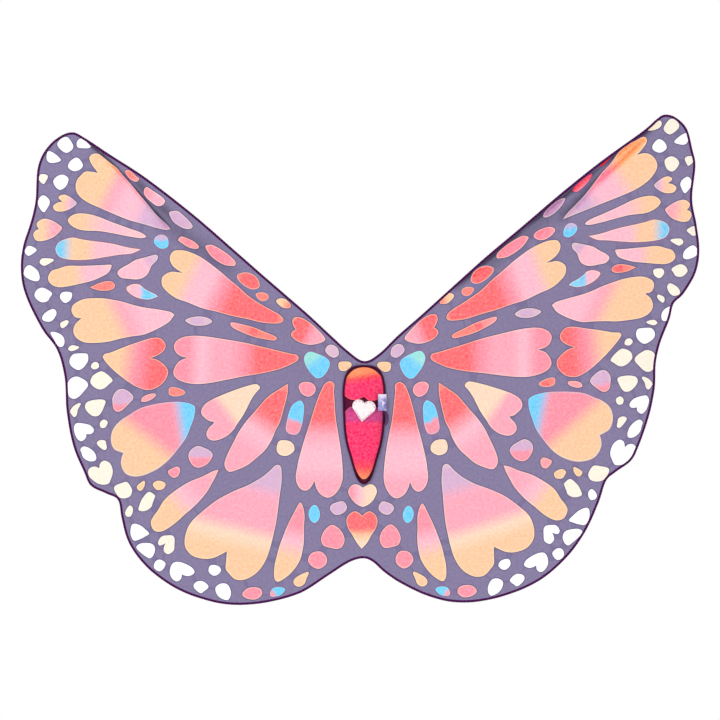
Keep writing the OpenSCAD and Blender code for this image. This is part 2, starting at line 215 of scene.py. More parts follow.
     "297,-139 275,-130 257,-121", "258,-130 345,-205: blush>blush>pink>peach>peach"),
    ("*233,-257 234,-271 235,-286 230,-294 220,-304 208,-306 197,-303 184,-295 174,-284 "
     "166,-270 160,-253 154,-230 149,-206 146,-185 143,-161 140,-140 140,-125 141,-114 "
     "146,-110 152,-112 160,-120 172,-130 185,-138 200,-146 215,-152 232,-160 250,-170 "
     "266,-182 279,-193 290,-203 298,-214 303,-227 305,-240 303,-252 295,-262 286,-267 "
     "270,-270 255,-268 242,-262",
     "150,-124 184,-262: lilac>lilac>blush>blush>blush>pale>peach"),
    ("108,-174 104,-180 101,-196 102,-216 102,-236 104,-254 108,-270 115,-283 125,-295 "
     "136,-304 146,-309 151,-306 153,-297 152,-281 148,-264 144,-249 137,-230 130,-213 "
     "122,-197 112,-178", "118,-212 132,-268: rose>pink>peach"),
]
# Cells that differ between the two halves: the left heart at the tip is cut by a fold of the print.
LEFT_ONLY = [
    ("*452,386 456,391 463,401 467,411 463,417 457,419 *450,418 440,410 430,402 420,394 410,382 "
     "400,371 390,359 380,347 368,333 355,317 345,307 335,298 *329,291 336,289 355,293 375,299 "
     "400,306 425,316 450,327 466,334 480,343 488,353 490,363 488,373 482,381 474,388 463,388",
     "464,368 350,310: peach>peach>blush>pink>pink>lilac>lilac"),
]
RIGHT_ONLY = [
    ("*463,416 472,419 482,419 491,414 497,405 498,395 492,383 480,370 460,357 430,344 400,332 "
     "370,320 350,312 *338,307 346,318 360,332 375,348 390,367 405,387 420,403 433,421 448,434 "
     "462,441 473,447 479,446 481,440 477,432 470,423",
     "474,400 352,322: peach>peach>pink>pink>lilac>lilac"),
    ("482,459 486,464 495,471 503,475 506,469 501,462 490,458", "cream"),
    ("401,397 404,397 411,403 418,410 421,414 419,415 412,410 405,403", "scarlet"),
    ("355,355 362,354 372,361 382,372 388,383 385,384 377,379 366,370 357,361",
     "388,380 340,340: rose>rose>scarlet"),
    ("305,312 312,311 324,318 335,329 342,341 340,343 331,340 319,331 308,320", "lilac"),
    ("289,277 297,272 308,273 319,280 325,288 322,293 312,294 298,289 290,283", "rose"),
]
# On the right half these left cells are replaced by its own, and some swap white and cream.
RIGHT_SKIPS = ("483,444", "402,391", "369,362", "331,319", "311,278")
RIGHT_CREAMS = ("503,446", "513,383", "570,262", "547,191", "529,155", "508,184",
                "489,40")
RIGHT_WHITES = ("*450,-116", "*337,-243", "398,-179")
# Two hearts on the middle line, given across from it instead of outwards.
MIDDLE = [
    ("*-2,-149 -8,-145 -16,-143 -23,-147 -27,-155 -25,-162 -19,-171 -11,-178 *-2,-182 7,-178 "
     "15,-171 20,-162 22,-155 19,-147 12,-143 4,-145", "-22,-156 18,-156: rose>pink>pale>pale"),
    ("*-3,-197 -8,-192 -16,-189 -26,-195 -30,-205 -27,-218 -20,-229 -12,-243 *-4,-253 5,-243 "
     "13,-229 20,-218 23,-205 19,-195 10,-189 2,-192", "-4,-196 -4,-242: coral>coral>coral>peach>pale"),
]
# The right half was cut from the same print a little higher and narrower. Each row is a point of
# the left half, out and up, then where it lies on the right half.
SHIFTS = [
    (0, 66, 0, 66), (0, -60, 0, -60), (0, -150, 0, -150), (0, -270, 0, -270),
    (507, 432, 522, 463), (490, 401, 502, 433), (527, 411, 539, 442), (545, 376, 552, 406),
    (544, 335, 547, 367), (566, 254, 557, 288), (565, 219, 555, 252), (545, 179, 537, 222),
    (535, 144, 524, 188), (516, 105, 513, 147), (485, 65, 478, 110), (487, 22, 478, 67),
    (446, 32, 437, 71), (489, -15, 480, 30), (475, -55, 467, -8), (469, -91, 460, -47),
    (447, -120, 441, -86), (409, -152, 400, -124), (399, -189, 389, -160),
    (348, -145, 334, -126), (381, -225, 365, -199), (336, -245, 318, -227),
    (347, -281, 330, -262), (254, -289, 239, -279), (240, -326, 224, -318),
    (480, 139, 478, 182), (322, 145, 319, 161), (363, 71, 358, 89), (444, 73, 437, 110),
    (300, 72, 296, 86), (111, 72, 113, 74), (307, 216, 308, 233), (137, 136, 140, 140),
    (409, -90, 402, -60), (287, -14, 279, -1), (388, -130, 368, -104), (254, -37, 247, -28),
    (179, 25, 173, 29), (129, 28, 127, 30), (235, -117, 225, -113), (84, -137, 78, -139),
    (53, 32, 56, 30), (247, -118, 237, -110), (358, -207, 341, -187), (233, -257, 221, -249),
    (146, -110, 139, -108), (305, -240, 290, -226), (108, -174, 99, -176), (146, -309, 133, -308),
    (358, 347, 371, 368), (312, 306, 324, 325), (296, 268, 306, 283), (244, 245, 253, 260),
    (198, 203, 202, 213), (137, 164, 141, 173), (452, 386, 463, 416), (379, 256, 382, 279),
    (429, 227, 427, 252), (280, 134, 278, 148), (190, -330, 175, -326), (54, -235, 44, -233),
]


def bend_between(here, there):
    """A thin-plate warp that takes the points here to the points there."""
    h, t = np.array(here, float), np.array(there, float)

    def kernel(r2):
        return r2 * np.log(r2 + 1e-9)
    n = len(h)
    k = kernel(((h[:, None] - h[None]) ** 2).sum(-1)) + 2e3 * np.eye(n)
    p = np.c_[np.ones(n), h]
    full = np.block([[k, p], [p.T, np.zeros((3, 3))]])
    w = np.linalg.solve(full, np.r_[t - h, np.zeros((3, 2))])

    def warp(q):
        q = np.asarray(q, float)
        r = kernel(((q[:, None] - h[None]) ** 2).sum(-1))
        return q + r @ w[:n] + np.c_[np.ones(len(q)), q] @ w[n:]
    return warp


to_right = bend_between([s[:2] for s in SHIFTS], [s[2:] for s in SHIFTS])
from_right = bend_between([s[2:] for s in SHIFTS], [s[:2] for s in SHIFTS])


def smooth_outline(text, step):
    """A closed curve through the points of an outline, straight-sided only at the * points."""
    words = text.split()
    sharp = [w[0] == "*" for w in words]
    p = np.array([[float(v) for v in w.strip("*").split(",")] for w in words])
    n = len(p)
    out = []
    for i in range(n):
        a, b, c, d = p[i - 1], p[i], p[(i + 1) % n], p[(i + 2) % n]
        into = (c - b) if sharp[i] else (c - a) / 2
        leave = (c - b) if sharp[(i + 1) % n] else (d - b) / 2
        for k in range(m := max(2, math.ceil(np.linalg.norm(c - b) / step))):
            t = k / m
            out.append((2 * t**3 - 3 * t**2 + 1) * b + (t**3 - 2 * t**2 + t) * into
                       + (3 * t**2 - 2 * t**3) * c + (t**3 - t**2) * leave)
    return np.array(out)


def evenly(path, step):
    """An open path resampled at equal steps, its ends kept."""
    s = np.r_[0, np.cumsum(np.linalg.norm(np.diff(path, axis=0), axis=1))]
    at = np.linspace(0, s[-1], max(2, round(s[-1] / step)) + 1)
    return np.c_[np.interp(at, s, path[:, 0]), np.interp(at, s, path[:, 1])]


def inside(poly, q):
    x, y = q[:, 0], q[:, 1]
    hit = np.zeros(len(q), bool)
    for (x0, y0), (x1, y1) in zip(poly, np.roll(poly, -1, axis=0)):
        if y0 != y1:
            hit ^= ((y0 > y) != (y1 > y)) & (x < (x1 - x0) * (y - y0) / (y1 - y0) + x0)
    return hit


def distance_to(poly, q):
    """The distance from each point to a closed outline."""
    best = np.full(len(q), 1e9)
    for a, b in zip(poly, np.roll(poly, -1, axis=0)):
        v = b - a
        t = np.clip((q - a) @ v / max(v @ v, 1e-9), 0, 1)
        best = np.minimum(best, ((q - a - t[:, None] * v) ** 2).sum(1))
    return np.sqrt(best)


def front_loop(node):
    """The outline of a flat CAD node's front, in millimetres, in order."""
    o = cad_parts[node]
    co = np.array([o.matrix_world @ v.co for v in o.data.vertices]) * 1000
    front = co[:, 1] < co[:, 1].min() + 0.01
    key = [(round(float(c[0]), 2), round(float(c[2]), 2)) for c in co]
    uses = {}
    for p in o.data.polygons:
        if all(front[i] for i in p.vertices):
            for i, j in p.edge_keys:
                e = tuple(sorted((key[i], key[j])))
                uses[e] = uses.get(e, 0) + 1
    beside = {}
    for (a, b), n in uses.items():
        if n == 1 and a != b:
            beside.setdefault(a, []).append(b)
            beside.setdefault(b, []).append(a)
    start = min(beside)
    loop, last = [start], None
    while True:
        step = [q for q in beside[loop[-1]] if q != last]
        last = loop[-1]
        if step[0] == start or len(loop) > len(beside):
            return np.array(loop)
        loop.append(step[0])


def half_edge(side):
    """The sewn edge of one half, from the neck round the wing tip to the tail, as an open path."""
    fold = 73.6
    centre = front_loop("centre_panel")
    wing = front_loop("left_wing_panel" if side < 0 else "right_wing_panel")

    def crossing(up):
        p = centre[(centre[:, 1] > 0) == up]
        p = p[np.abs(p[:, 0]) < fold]
        p = p[np.argsort(p[:, 0])]
        middle = np.array([[0.0, np.interp(0, p[:, 0], p[:, 1])]])
        p = p[p[:, 0] * side > 0.5]
        return np.r_[middle, p[np.argsort(p[:, 0] * side)]]
    inner = np.abs(wing[:, 0]).min() + 0.1
    corners = [i for i in range(len(wing)) if abs(wing[i, 0]) < inner]
    top = max(corners, key=lambda i: wing[i, 1])
    wing = np.roll(wing, -top, axis=0)
    if abs(wing[1, 0]) < inner:
        wing = np.roll(wing[::-1], 1, axis=0)
    return evenly(np.r_[crossing(True), wing, crossing(False)[::-1]], 3.0)


# Creases of each half, in millimetres across and up: from, to, half width, depth to the back.
# The sharp ones run below the leading edge, where the cloth is pulled straight from tip to neck.
# Creases narrower than 15 mm also darken the cloth's colour: painted shade.
CREASES = {
    -1: [((-474, 441), (-434, 408), 3, 2.0), ((-446, 420), (-392, 364), 3, 2.6),
         ((-402, 374), (-324, 286), 3.5, 2.6), ((-400, 384), (-318, 300), 8, 2.4),
         ((-350, 314), (-210, 206), 14, 3.6), ((-230, 232), (-95, 120), 16, 1.8),
         ((-500, 395), (-540, 250), 22, -2.6), ((-420, 60), (-540, 20), 30, 2.2),
         ((-250, -120), (-380, -230), 34, -2.4), ((-130, -60), (-250, -240), 30, 1.8),
         ((-80, 60), (-260, 110), 26, -1.6)],
    1: [((502, 472), (396, 392), 5, 1.6), ((414, 406), (262, 282), 5, 1.6),
        ((284, 300), (150, 186), 5, 1.4), ((484, 450), (388, 359), 4.5, 2.6),
        ((430, 408), (326, 300), 7, 3.2), ((350, 346), (190, 206), 14, 3.2),
        ((220, 236), (90, 118), 16, 1.8), ((545, 400), (556, 270), 18, -2.6),
        ((420, 80), (515, 60), 30, 2.2), ((250, -110), (370, -210), 34, -2.4),
        ((130, -60), (240, -230), 30, 1.8), ((80, 60), (270, 120), 26, -1.6)],
}
LOOP_TIPS = {-1: (-498, 430), 1: (511, 458)}


def crease_share(side, q):
    """How deep each point lies in a narrow crease, which sets the painted shade there, and how far the
    creases move it back.
    """
    share, back = np.zeros(len(q)), np.zeros(len(q))
    for a, b, w, depth in CREASES[side]:
        a, b = np.array(a, float), np.array(b, float)
        v = b - a
        t = (q - a) @ v / (v @ v)
        off = (q - a - t[:, None] * v) @ np.array([-v[1], v[0]]) / np.linalg.norm(v)
        fade = np.clip(1.15 - np.abs(2 * t - 1) ** 3, 0, 1) * (np.abs(2 * t - 1) < 1.2)
        s = np.exp(-(off / w) ** 2) * fade
        back += depth * s
        # Only the narrow creases give a share, the amount of painted shade in the colour.
        if w < 15:
            share = np.maximum(share, s * min(1, 5 / w))
    return share, back


def crease_points(side):
    """Points close together along the sharp creases, so that their shading, partly painted shade in the
    colour, stays narrow.
    """
    made = []
    for a, b, w, _ in CREASES[side]:
        a, v = np.array(a, float), np.array(b, float) - a
        across = np.array([-v[1], v[0]]) / np.linalg.norm(v)
        if w <= 5:
            made += [a + t * v + off * w * across for t in np.arange(0, 1, 3 / np.linalg.norm(v))
                     for off in (-1.8, -1, 0, 1, 1.8)]
    return np.array(made)


def ripple(q, length, seed):
    """A smooth random height from about -1 to 1, with waves of about that length."""
    total = np.zeros(len(q))
    for k in range(7):
        turn, phase = seed * 1.7 + k * 2.4, seed * 3.1 + k * k * 1.3
        wave = length * (0.7 + 0.13 * k)
        total += np.sin((q @ np.array([math.cos(turn), math.sin(turn)])) * 2 * math.pi / wave + phase)
    return total / 3.2


def hang(side, q, edge):
    """How far back the cloth lies at each point, in millimetres: creases, slack and edge ripple."""
    _, back = crease_share(side, q)
    near = np.exp(-(edge / 24) ** 2)
    back = back + 1.5 * ripple(q, 210, 3 + side) + ripple(q, 42, 9 + side) * (0.12 + 0.7 * near)
    ease = np.clip((np.abs(q[:, 0]) - 40) / 80, 0, 1)
    tip = np.clip((np.linalg.norm(q - np.array(LOOP_TIPS[side]), axis=1) - 18) / 26, 0, 1)
    return back * ease**2 * (3 - 2 * ease) * tip**2 * (3 - 2 * tip)


def paint_at(paint, q):
    """The colour of a cell at each point of the left half's print."""
    if ":" not in paint:
        return np.tile(PAINTS[paint], (len(q), 1))
    tint = None
    for wash in paint.split("|"):
        line, names = wash.split(":")
        a, b = (np.array([float(v) for v in w.split(",")]) for w in line.split())
        t = np.clip((q - a) @ (b - a) / ((b - a) @ (b - a)), 0, 1)
        stops = np.array([PAINTS[n.strip()] for n in names.split(">")])
        if tint is None:
            at = t * (len(stops) - 1)
            tint = np.stack([np.interp(at, range(len(stops)), stops[:, k]) for k in range(3)], 1)
        else:
            tint = tint + (stops[0] - tint) * (t * t * (3 - 2 * t))[:, None]
    return tint


def print_sheet(name, outline, cells, ground, depth, front, back, spacing, flat_back=False,
                shade=lambda q: np.ones(len(q)), extra=np.zeros((0, 2))):
    """A closed sheet of cloth with cells printed on it. cells are (outline, colours, line colour).
    depth gives how far back each point lies; front and back are the two faces' Y; shade is the
    painted shade that darkens the ground in its creases, where extra points keep it narrow."""
    points, edges = [], []

    def add_loop(loop):
        n = len(points)
        points.extend(map(tuple, loop))
        edges.extend((n + i, n + (i + 1) % len(loop)) for i in range(len(loop)))
    add_loop(outline)
    for loop, _, _ in cells:
        add_loop(loop)
    for loop, _, _ in cells:
        ahead = np.roll(loop, -1, axis=0) - np.roll(loop, 1, axis=0)
        across = np.c_[-ahead[:, 1], ahead[:, 0]] / np.linalg.norm(ahead, axis=1)[:, None]
        for off in (-1.5, 1.5):
            ring = loop + off * across
            ring = ring[distance_to(loop, ring) > 1.2]
            points.extend(map(tuple, ring[inside(outline, ring)]))
    if len(extra):
        extra = extra[inside(outline, extra)]
        known = np.array(points)
        points.extend(tuple(p) for p in extra if ((known - p) ** 2).sum(1).min() > 1.4)
    tree = kdtree.KDTree(len(points))
    for i, p in enumerate(points):
        tree.insert((*p, 0), i)
    tree.balance()
    low, high = outline.min(0), outline.max(0)
    rows = np.arange(low[1], high[1], spacing * 0.87)
    fill = np.array([(x + (r % 2) * spacing / 2, z) for r, z in enumerate(rows)
                     for x in np.arange(low[0], high[0], spacing)])
    fill = fill[inside(outline, fill)]
    points.extend(tuple(p) for p in fill if tree.find((*p, 0))[2] > 0.55 * spacing)
    flat, _, faces, *_ = delaunay_2d_cdt([Vector(p) for p in points], edges, [], 0, 1e-4)
    flat, faces = np.array([tuple(v) for v in flat]), np.array([f for f in faces if len(f) == 3])
    middle = flat[faces].mean(1)
    keep = inside(outline, middle)
    faces, middle = faces[keep], middle[keep]
    used, faces = np.unique(faces, return_inverse=True)
    flat, faces = flat[used], faces.reshape(-1, 3)
    a, b, c = (flat[faces[:, i]] for i in range(3))
    turn = (b[:, 0] - a[:, 0]) * (c[:, 1] - a[:, 1]) - (b[:, 1] - a[:, 1]) * (c[:, 0] - a[:, 0])
    faces = np.where(turn[:, None] > 0, faces, faces[:, ::-1])
    owner = np.full(len(faces), -1)
    rim, near = np.full(len(flat), -9.0), np.full(len(flat), -1)
    for k, (loop, _, _) in enumerate(cells):
        lo, hi = loop.min(0), loop.max(0)
        at = np.flatnonzero(((middle > lo) & (middle < hi)).all(1))
        owner[at[inside(loop, middle[at])]] = k
        at = np.flatnonzero(((flat > lo - 6) & (flat < hi + 6)).all(1))
        d = distance_to(loop, flat[at]) * np.where(inside(loop, flat[at]), 1, -1)
        better = d > rim[at]
        rim[at[better]], near[at[better]] = d[better], k
    rim[np.abs(rim) < 0.05] = 0
    corner = faces.reshape(-1)
    # Painted shade: the ground colour darkened in the creases.
    tint = ground[0] * shade(flat)[corner][:, None]
    edge = np.tile(ground[1], (len(faces) * 3, 1))
    corner_owner, corner_near = np.repeat(owner, 3), near[corner]
    for k, (_, colours, lines) in enumerate(cells):
        at = corner_owner == k
        if at.any():
            tint[at], edge[at] = colours(flat[corner[at]])
        edge[(corner_owner < 0) & (corner_near == k)] = lines
    n, deep = len(flat), depth(flat)
    co = np.r_[np.c_[flat[:, 0], deep + front, flat[:, 1]],
               np.c_[flat[:, 0], deep * (not flat_back) + back, flat[:, 1]]] / 1000
    sides = {}
    for f in faces:
        for i in range(3):
            sides[(f[i], f[(i + 1) % 3])] = 1
    wall = [(i, j) for i, j in sides if (j, i) not in sides]
    mesh = bpy.data.meshes.new(name)
    mesh.from_pydata(co.tolist(), [], faces.tolist() + (faces[:, ::-1] + n).tolist()
                     + [(j, i, i + n, j + n) for i, j in wall])
    flipped = (np.arange(len(faces))[:, None] * 3 + np.array([2, 1, 0])).reshape(-1)
    blank = np.tile(ground[0], (len(wall) * 4, 1))
    for label, values in (("tint", tint), ("edge", edge)):
        layer = mesh.attributes.new(label, "FLOAT_COLOR", "CORNER")
        every = np.r_[values, values[flipped], blank]
        layer.data.foreach_set("color", np.c_[every, np.ones(len(every))].astype(np.float32).ravel())
    mesh.attributes.new("rim", "FLOAT", "POINT").data.foreach_set(
        "value", np.r_[rim, rim].astype(np.float32))
    mesh.attributes.new("wrong_side", "FLOAT", "POINT").data.foreach_set(
        "value", np.r_[np.zeros(n), np.ones(n)].astype(np.float32))
    uv = mesh.uv_layers.new(name="UVMap")
    loop_verts = np.zeros(len(mesh.loops), int)
    mesh.loops.foreach_get("vertex_index", loop_verts)
    uv.data.foreach_set("uv", co[loop_verts][:, [0, 2]].astype(np.float32).ravel())
    mesh.polygons.foreach_set("use_smooth", [True] * (2 * len(faces)) + [False] * len(wall))
    rims = {tuple(sorted((i + k, j + k))) for i, j in wall for k in (0, n)}
    mesh.attributes.new("sharp_edge", "BOOLEAN", "EDGE").data.foreach_set(
        "value", [tuple(sorted(e.vertices)) in rims for e in mesh.edges])
    piece = bpy.data.objects.new(name, mesh)
    bpy.context.scene.collection.objects.link(piece)
    return piece


def node(tree, kind, at=None, **inputs):
    """A shader node with its inputs set by name, each a value or another node's socket."""
    made = tree.nodes.new(kind)
    for key, value in (at or {}).items():
        setattr(made, key, value)
    for key, value in inputs.items():
        socket = made.inputs[int(key[1:])] if key[0] == "i" and key[1:].isdigit() else made.inputs[
            key.replace("_", " ")]
        if hasattr(value, "links"):
            tree.links.new(value, socket)
        else:
            socket.default_value = value
    return made


def group(name, inputs, outputs):
    """An empty shader node group with named sockets, given as {name: (type, value)}."""
    tree = bpy.data.node_groups.new(name, "ShaderNodeTree")
    for label, (kind, value) in inputs.items():
        socket = tree.interface.new_socket(label, in_out="INPUT", socket_type=kind)
        if value is not None:
            socket.default_value = value
    for label, kind in outputs.items():
        tree.interface.new_socket(label, in_out="OUTPUT", socket_type=kind)
    return tree, tree.nodes.new("NodeGroupInput"), tree.nodes.new("NodeGroupOutput")


COLOUR, FLOAT, VECTOR = "NodeSocketColor", "NodeSocketFloat", "NodeSocketVector"

# Printed dye on woven cloth: mottles the colour and draws the dark line round a cell and its rim.
tree, gin, gout = group(
    "printed_dye", {"Tint": (COLOUR, (0.5, 0.5, 0.5, 1)), "Edge": (COLOUR, (0.2, 0.2, 0.4, 1)),
                    "Rim": (FLOAT, 0), "Wrong side": (FLOAT, 0), "Cloth": (VECTOR, None),
                    "Mottle": (FLOAT, 0.1)}, {"Color": COLOUR, "Height": FLOAT})
g = gin.outputs
blot = node(tree, "ShaderNodeTexNoise", Vector=g["Cloth"], Scale=210, Detail=4, Roughness=0.6)
grain = node(tree, "ShaderNodeTexNoise", Vector=g["Cloth"], Scale=640, Detail=2, Roughness=0.5)
both = node(tree, "ShaderNodeMath", {"operation": "MULTIPLY_ADD"}, i0=grain.outputs["Fac"],
            i1=0.55, i2=blot.outputs["Fac"])
shift = node(tree, "ShaderNodeMapRange", Value=both.outputs[0], From_Min=0.45, From_Max=1.1,
             To_Min=-1.0, To_Max=1.0)
amount = node(tree, "ShaderNodeMath", {"operation": "MULTIPLY"}, i0=shift.outputs[0],
              i1=g["Mottle"])
bright = node(tree, "ShaderNodeMath", {"operation": "ADD"}, i0=amount.outputs[0], i1=1.0)
wash = node(tree, "ShaderNodeMath", {"operation": "MULTIPLY_ADD"}, i0=amount.outputs[0], i1=-1.6,
            i2=1.0)
mottled = node(tree, "ShaderNodeHueSaturation", Value=bright.outputs[0], Color=g["Tint"],
               Saturation=wash.outputs[0])
away = node(tree, "ShaderNodeMath", {"operation": "ABSOLUTE"}, i0=g["Rim"])
line = node(tree, "ShaderNodeMapRange", {"interpolation_type": "SMOOTHSTEP"},
            Value=away.outputs[0], From_Min=0.7, From_Max=1.9, To_Min=0.85, To_Max=0.0)
drawn = node(tree, "ShaderNodeMix", {"data_type": "RGBA"}, i0=line.outputs[0],
             i6=mottled.outputs[0], i7=g["Edge"])
faded = node(tree, "ShaderNodeMix", {"data_type": "RGBA"}, i6=drawn.outputs[2],
             i7=(0.62, 0.60, 0.66, 1))
fade = node(tree, "ShaderNodeMath", {"operation": "MULTIPLY"}, i0=g["Wrong side"], i1=0.28)
tree.links.new(fade.outputs[0], faded.inputs[0])
tree.links.new(faded.outputs[2], gout.inputs["Color"])
tree.links.new(both.outputs[0], gout.inputs["Height"])

# Plain weave: fine crossing threads, as a height.
tree, gin, gout = group("plain_weave", {"Cloth": (VECTOR, None), "Threads per metre": (FLOAT, 1500)},
                        {"Height": FLOAT})
scaled = node(tree, "ShaderNodeVectorMath", {"operation": "SCALE"}, Vector=gin.outputs["Cloth"],
              Scale=gin.outputs["Threads per metre"])
apart = node(tree, "ShaderNodeSeparateXYZ", Vector=scaled.outputs[0])
waves = [node(tree, "ShaderNodeMath", {"operation": "SINE"}, i0=apart.outputs[k]) for k in (0, 1)]
crossed = node(tree, "ShaderNodeMath", {"operation": "MULTIPLY"}, i0=waves[0].outputs[0],
               i1=waves[1].outputs[0])
tree.links.new(crossed.outputs[0], gout.inputs["Height"])


def use_group(tree, name, **inputs):
    made = tree.nodes.new("ShaderNodeGroup")
    made.node_tree = bpy.data.node_groups[name]
    for key, value in inputs.items():
        socket = made.inputs[key.replace("_", " ")]
        if hasattr(value, "links"):
            tree.links.new(value, socket)
        else:
            socket.default_value = value
    return made


def new_material(name, **settings):
    """A material with one Principled shader, its constants set by name."""
    made = bpy.data.materials.new(name)
    made.use_nodes = True
    shader = made.node_tree.nodes["Principled BSDF"]
    for key, value in settings.items():
        shader.inputs[key.replace("_", " ")].default_value = value
    return made, made.node_tree, shader


def attribute(tree, name, socket):
    return node(tree, "ShaderNodeAttribute", {"attribute_name": name}).outputs[socket]


def printed_material(name, threads, mottle, **settings):
    made, tree, shader = new_material(name, **settings)
    cloth = node(tree, "ShaderNodeUVMap", {"uv_map": "UVMap"}).outputs[0]
    dye = use_group(tree, "printed_dye", Tint=attribute(tree, "tint", "Color"),
                    Edge=attribute(tree, "edge", "Color"), Rim=attribute(tree, "rim", "Fac"),
                    Wrong_side=attribute(tree, "wrong_side", "Fac"), Cloth=cloth, Mottle=mottle)
    weave = use_group(tree, "plain_weave", Cloth=cloth, Threads_per_metre=threads)
    bump = node(tree, "ShaderNodeBump", Height=weave.outputs[0], Strength=0.18, Distance=0.0003)
    tree.links.new(dye.outputs["Color"], shader.inputs["Base Color"])
    tree.links.new(bump.outputs[0], shader.inputs["Normal"])
    return made


# Its tint attribute carries the print and, on the wings, painted shade in the creases.
wing_material = printed_material("wing_print", 5200, 0.09, Roughness=0.62, Sheen_Weight=0.15,
                                 Sheen_Roughness=0.5, Specular_IOR_Level=0.25)


def wing_cells(side):
    """The cells of one half, as outlines and colours in place."""
    cells = []
    own = LEFT_ONLY if side < 0 else RIGHT_ONLY
    for text, paint in CELLS + own + MIDDLE:
        loop = smooth_outline(text, 3.0)
        middle, placed = (text, paint) in MIDDLE, (text, paint) in own
        if side > 0 and not middle and not placed:
            if text.startswith(RIGHT_SKIPS):
                continue
            if text.startswith(RIGHT_CREAMS):
                paint = "cream"
            if text.startswith(RIGHT_WHITES):
                paint = "white"
            loop = to_right(loop)
        if not middle:
            loop[:, 0] *= side

        def colours(q, paint=paint, middle=middle, placed=placed):
            source = q.copy()
            if not middle:
                source[:, 0] *= side
                if side > 0 and not placed:
                    source = from_right(source)
            tint = paint_at(paint, source)
            # Painted shade: the print's colours deepen in the narrow creases, more in this half's own
            # cells.
            share, _ = crease_share(side, q)
            tint = tint * tint ** ((1.5 if placed else 0.4) * share[:, None])
            lift = PAINTS["blue_rim"] if "blue" in paint and "pink" not in paint else PAINTS["rim"]
            pale = 0.0 if paint in ("white", "cream") or "scarlet" in paint else 0.5
            return tint, tint * (1 - pale) + lift * pale
        lines = PAINTS["blue_line" if "blue" in paint else
                       "coral_line" if paint == "coral" else "line"]
        cells.append((loop, colours, lines))
    return cells


wing_pieces, wing_edges = {}, {}
for side, hand in ((-1, "left"), (1, "right")):
    edge = half_edge(side)
    seam = evenly(np.array([edge[-1], edge[0]]), 6.0)[1:-1]
    outline = np.r_[edge, seam]
    cells = wing_cells(side)
    piece = print_sheet(
        f"{hand}_wing_cloth", outline, cells, (PAINTS["ground"], PAINTS["line"]),
        lambda q: hang(side, q, distance_to(edge[::4], q)), -1.9, -1.15, 8.0,
        # Painted shade: the ground colour darkens in the narrow creases.
        shade=lambda q: 1 - 0.85 * crease_share(side, q)[0], extra=crease_points(side))
    piece.data.materials.append(wing_material)
    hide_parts(f"{hand}_wing_panel", "centre_panel")
    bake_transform(piece)
    wing_pieces[side], wing_edges[side] = piece, edge

# ---- Overlocked edge ----
# A dense plum overlock that wraps the raw edge of the wing cloth all the way round, slanted
# threads packed side by side over the edge. It is sewn through the cloth and follows its creases and
# slack.


def thread_bead(name, path, half_w, half_t, closed):
    """A bead along a path of (across, back, up) points in millimetres, its width in the X-Z plane."""
    p = np.array(path, float)
    ahead = (np.roll(p, -1, 0) - np.roll(p, 1, 0)) if closed else np.gradient(p, axis=0)
    ahead /= np.linalg.norm(ahead, axis=1)[:, None]
    wide = np.cross(ahead, (0, 1, 0))
    wide /= np.linalg.norm(wide, axis=1)[:, None]
    thick = np.cross(wide, ahead)
    run = np.r_[0, np.cumsum(np.linalg.norm(np.diff(p, axis=0), axis=1))]
    around = 10
    co, uv = [], []
    for k in range(around):
        a = 2 * math.pi * k / around
        r = 1 + 0.05 * np.sin(2 * math.pi * run / 4.1 + a)
        co.append(p + (r * math.cos(a) * half_w)[:, None] * wide
                  + (r * math.sin(a) * half_t)[:, None] * thick)
    co = np.stack(co, 1)
    n = len(p)
    faces, corners = [], []
    for i in range(n if closed else n - 1):
        j = (i + 1) % n
        for k in range(around):
            m = (k + 1) % around
            faces.append((i * around + k, i * around + m, j * around + m, j * around + k))
            s0, s1 = run[i] / 1000, (run[j] if j else run[-1] + 1.5) / 1000
            corners += [(s0, k / around), (s0, (k + 1) / around), (s1, (k + 1) / around),
                        (s1, k / around)]
    if not closed:
        faces += [tuple(range(around))[::-1], tuple((n - 1) * around + k for k in range(around))]
        corners += [(0, 0)] * (2 * around)
    mesh = bpy.data.meshes.new(name)
    mesh.from_pydata((co.reshape(-1, 3) / 1000).tolist(), [], faces)
    layer = mesh.uv_layers.new(name="UVMap")
    layer.data.foreach_set("uv", np.array(corners, np.float32).ravel())
    mesh.polygons.foreach_set("use_smooth", [True] * len(faces))
    piece = bpy.data.objects.new(name, mesh)
    bpy.context.scene.collection.objects.link(piece)
    return piece


# Slanted threads side by side: a mask that is light on each thread's crown, used as a painted highlight
# there, and its height.
tree, gin, gout = group("slanted_threads", {"Run": (VECTOR, None), "Threads per metre": (FLOAT, 900),
                                            "Slant": (FLOAT, 1.6)}, {"Crown": FLOAT})
apart = node(tree, "ShaderNodeSeparateXYZ", Vector=gin.outputs["Run"])
along = node(tree, "ShaderNodeMath", {"operation": "MULTIPLY"}, i0=apart.outputs[0],
             i1=gin.outputs["Threads per metre"])
lean = node(tree, "ShaderNodeMath", {"operation": "MULTIPLY_ADD"}, i0=apart.outputs[1],
            i1=gin.outputs["Slant"], i2=along.outputs[0])
turned = node(tree, "ShaderNodeMath", {"operation": "MULTIPLY"}, i0=lean.outputs[0], i1=6.2832)
wave = node(tree, "ShaderNodeMath", {"operation": "SINE"}, i0=turned.outputs[0])
crown = node(tree, "ShaderNodeMapRange", Value=wave.outputs[0], From_Min=-1.0, From_Max=1.0)
tree.links.new(crown.outputs[0], gout.inputs["Crown"])


